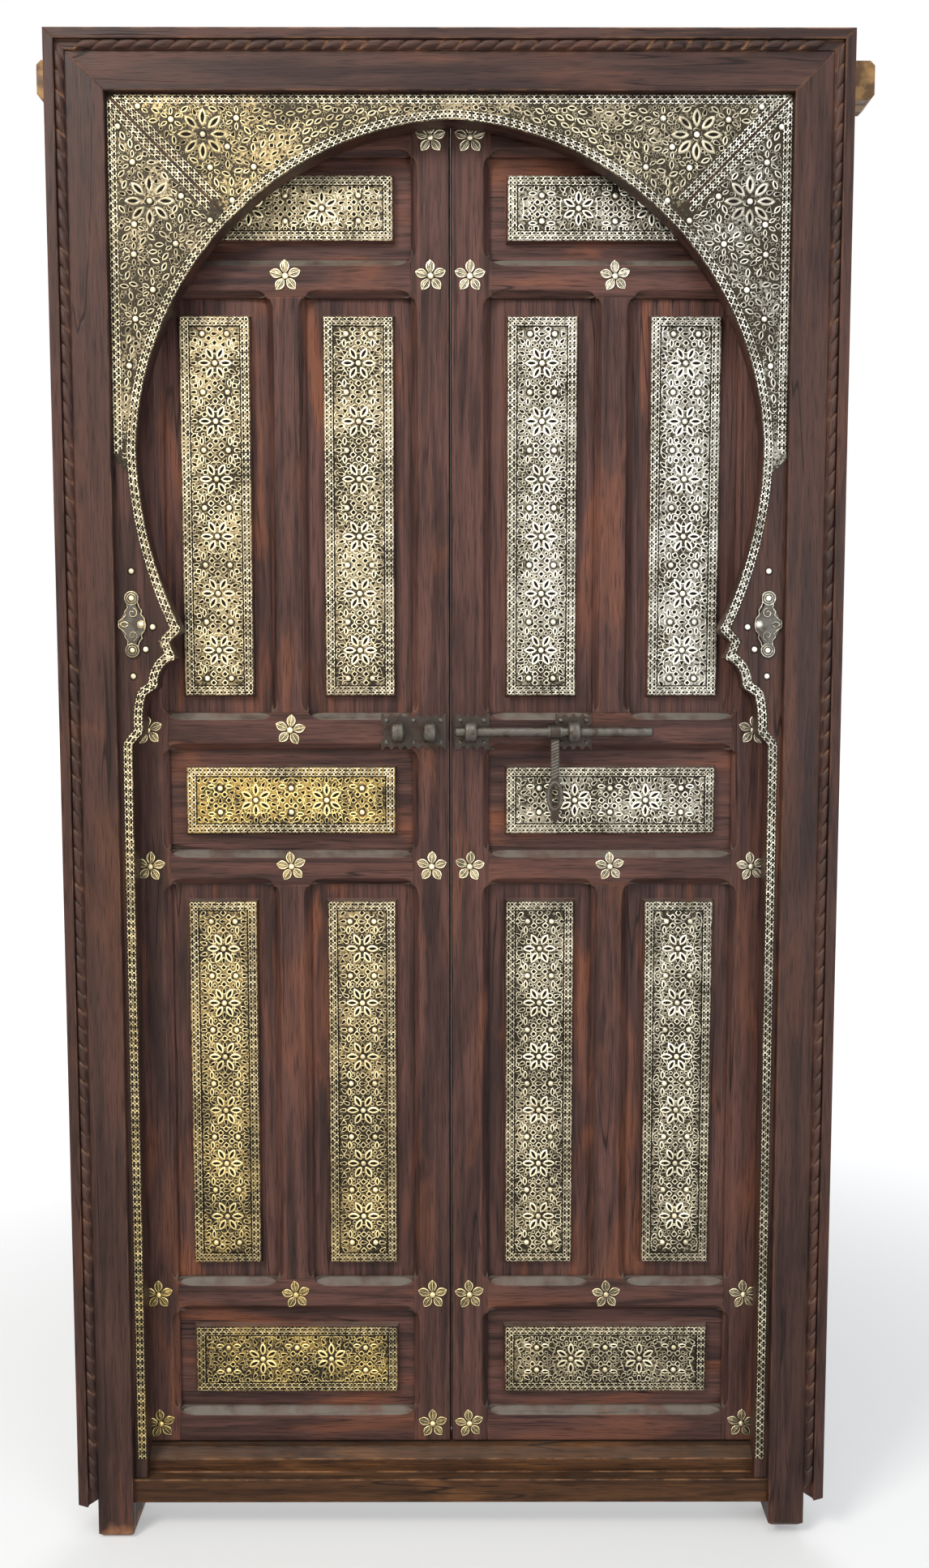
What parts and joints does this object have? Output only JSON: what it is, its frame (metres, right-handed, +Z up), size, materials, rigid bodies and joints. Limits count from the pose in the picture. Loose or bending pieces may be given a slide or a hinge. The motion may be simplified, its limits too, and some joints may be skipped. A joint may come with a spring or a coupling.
{
  "type": "arched wooden double door with frame",
  "caption": "Double door of panelled leaves behind a horseshoe arch, in a jamb, head and sill frame with rope mouldings, embossed brass plates, flower studs and a sliding bolt with a hasp.",
  "frame": {"origin": "middle of the sill's underside, at half the jambs' depth", "axes": "+Z up, +X to the right seen from the front, +Y from the front to the back"},
  "size_m": [1.252, 0.121, 2.327],
  "materials": {
    "frame_wood": "dark stained, worn",
    "leaf_wood": "dark stained, worn",
    "panel_wood": "dark stained, worn",
    "brass_sheet": "embossed, with dark patina",
    "nail_brass": "rubbed bright",
    "flower_brass": "embossed, with dark patina",
    "dark_iron": "forged, dark",
    "hinge_iron": "forged, dark"
  },
  "bodies": {
    "frame": {"left_jamb": "frame_wood", "right_jamb": "frame_wood", "head": "frame_wood", "sill": "frame_wood", "left_moulding": "frame_wood", "right_moulding": "frame_wood", "top_moulding": "frame_wood", "left_arch_board": "frame_wood", "right_arch_board": "frame_wood", "top_arch_board": "frame_wood", "left_spandrel_sheet": "brass_sheet", "right_spandrel_sheet": "brass_sheet", "top_spandrel_sheet": "brass_sheet", "left_edge_strip": "brass_sheet", "right_edge_strip": "brass_sheet", "left_scroll_ornament": "dark_iron", "right_scroll_ornament": "dark_iron", "frame_nails": "nail_brass", "hinge_frame_plates": "hinge_iron", "hinge_pins": "hinge_iron"},
    "left_leaf": {"left_bolt_eyes": "dark_iron", "left_bolt_plate": "dark_iron", "left_bottom_rail": "leaf_wood", "left_flowers": "flower_brass", "left_hinge_plates": "hinge_iron", "left_hinge_stile": "leaf_wood", "left_lock_rail": "leaf_wood", "left_lower_muntin": "leaf_wood", "left_lower_rail": "leaf_wood", "left_meeting_stile": "leaf_wood", "left_middle_rail": "leaf_wood", "left_plate_nails": "nail_brass", "left_tall_panels": "panel_wood", "left_tall_plates": "brass_sheet", "left_top_rail": "leaf_wood", "left_upper_muntin": "leaf_wood", "left_upper_rail": "leaf_wood", "left_wide_panels": "panel_wood", "left_wide_plates": "brass_sheet"},
    "right_leaf": {"right_bolt_eyes": "dark_iron", "right_bolt_plates": "dark_iron", "right_bottom_rail": "leaf_wood", "right_flowers": "flower_brass", "right_hinge_plates": "hinge_iron", "right_hinge_stile": "leaf_wood", "right_lock_rail": "leaf_wood", "right_lower_muntin": "leaf_wood", "right_lower_rail": "leaf_wood", "right_meeting_stile": "leaf_wood", "right_middle_rail": "leaf_wood", "right_plate_nails": "nail_brass", "right_tall_panels": "panel_wood", "right_tall_plates": "brass_sheet", "right_top_rail": "leaf_wood", "right_upper_muntin": "leaf_wood", "right_upper_rail": "leaf_wood", "right_wide_panels": "panel_wood", "right_wide_plates": "brass_sheet"},
    "bolt": {"bolt_bar": "dark_iron", "bolt_collars": "dark_iron"},
    "hasp": {"hasp": "dark_iron"}
  },
  "joints": [
    {"name": "left_leaf_swing", "type": "hinge", "parent": "frame", "child": "left_leaf", "pos_m": [-0.5085, 0.056, 1.129], "axis": [0, 0, 1], "range_deg": [0, 105]},
    {"name": "right_leaf_swing", "type": "hinge", "parent": "frame", "child": "right_leaf", "pos_m": [0.5085, 0.056, 1.129], "axis": [0, 0, -1], "range_deg": [0, 105]},
    {"name": "bolt_slide", "type": "slide", "parent": "right_leaf", "child": "bolt", "axis": [1, 0, 0], "range_m": [-0.103, 0]},
    {"name": "hasp_swing", "type": "hinge", "parent": "bolt", "child": "hasp", "pos_m": [0.163, -0.011, 1.24], "axis": [-1, 0, 0], "range_deg": [0, 120]}
  ]
}
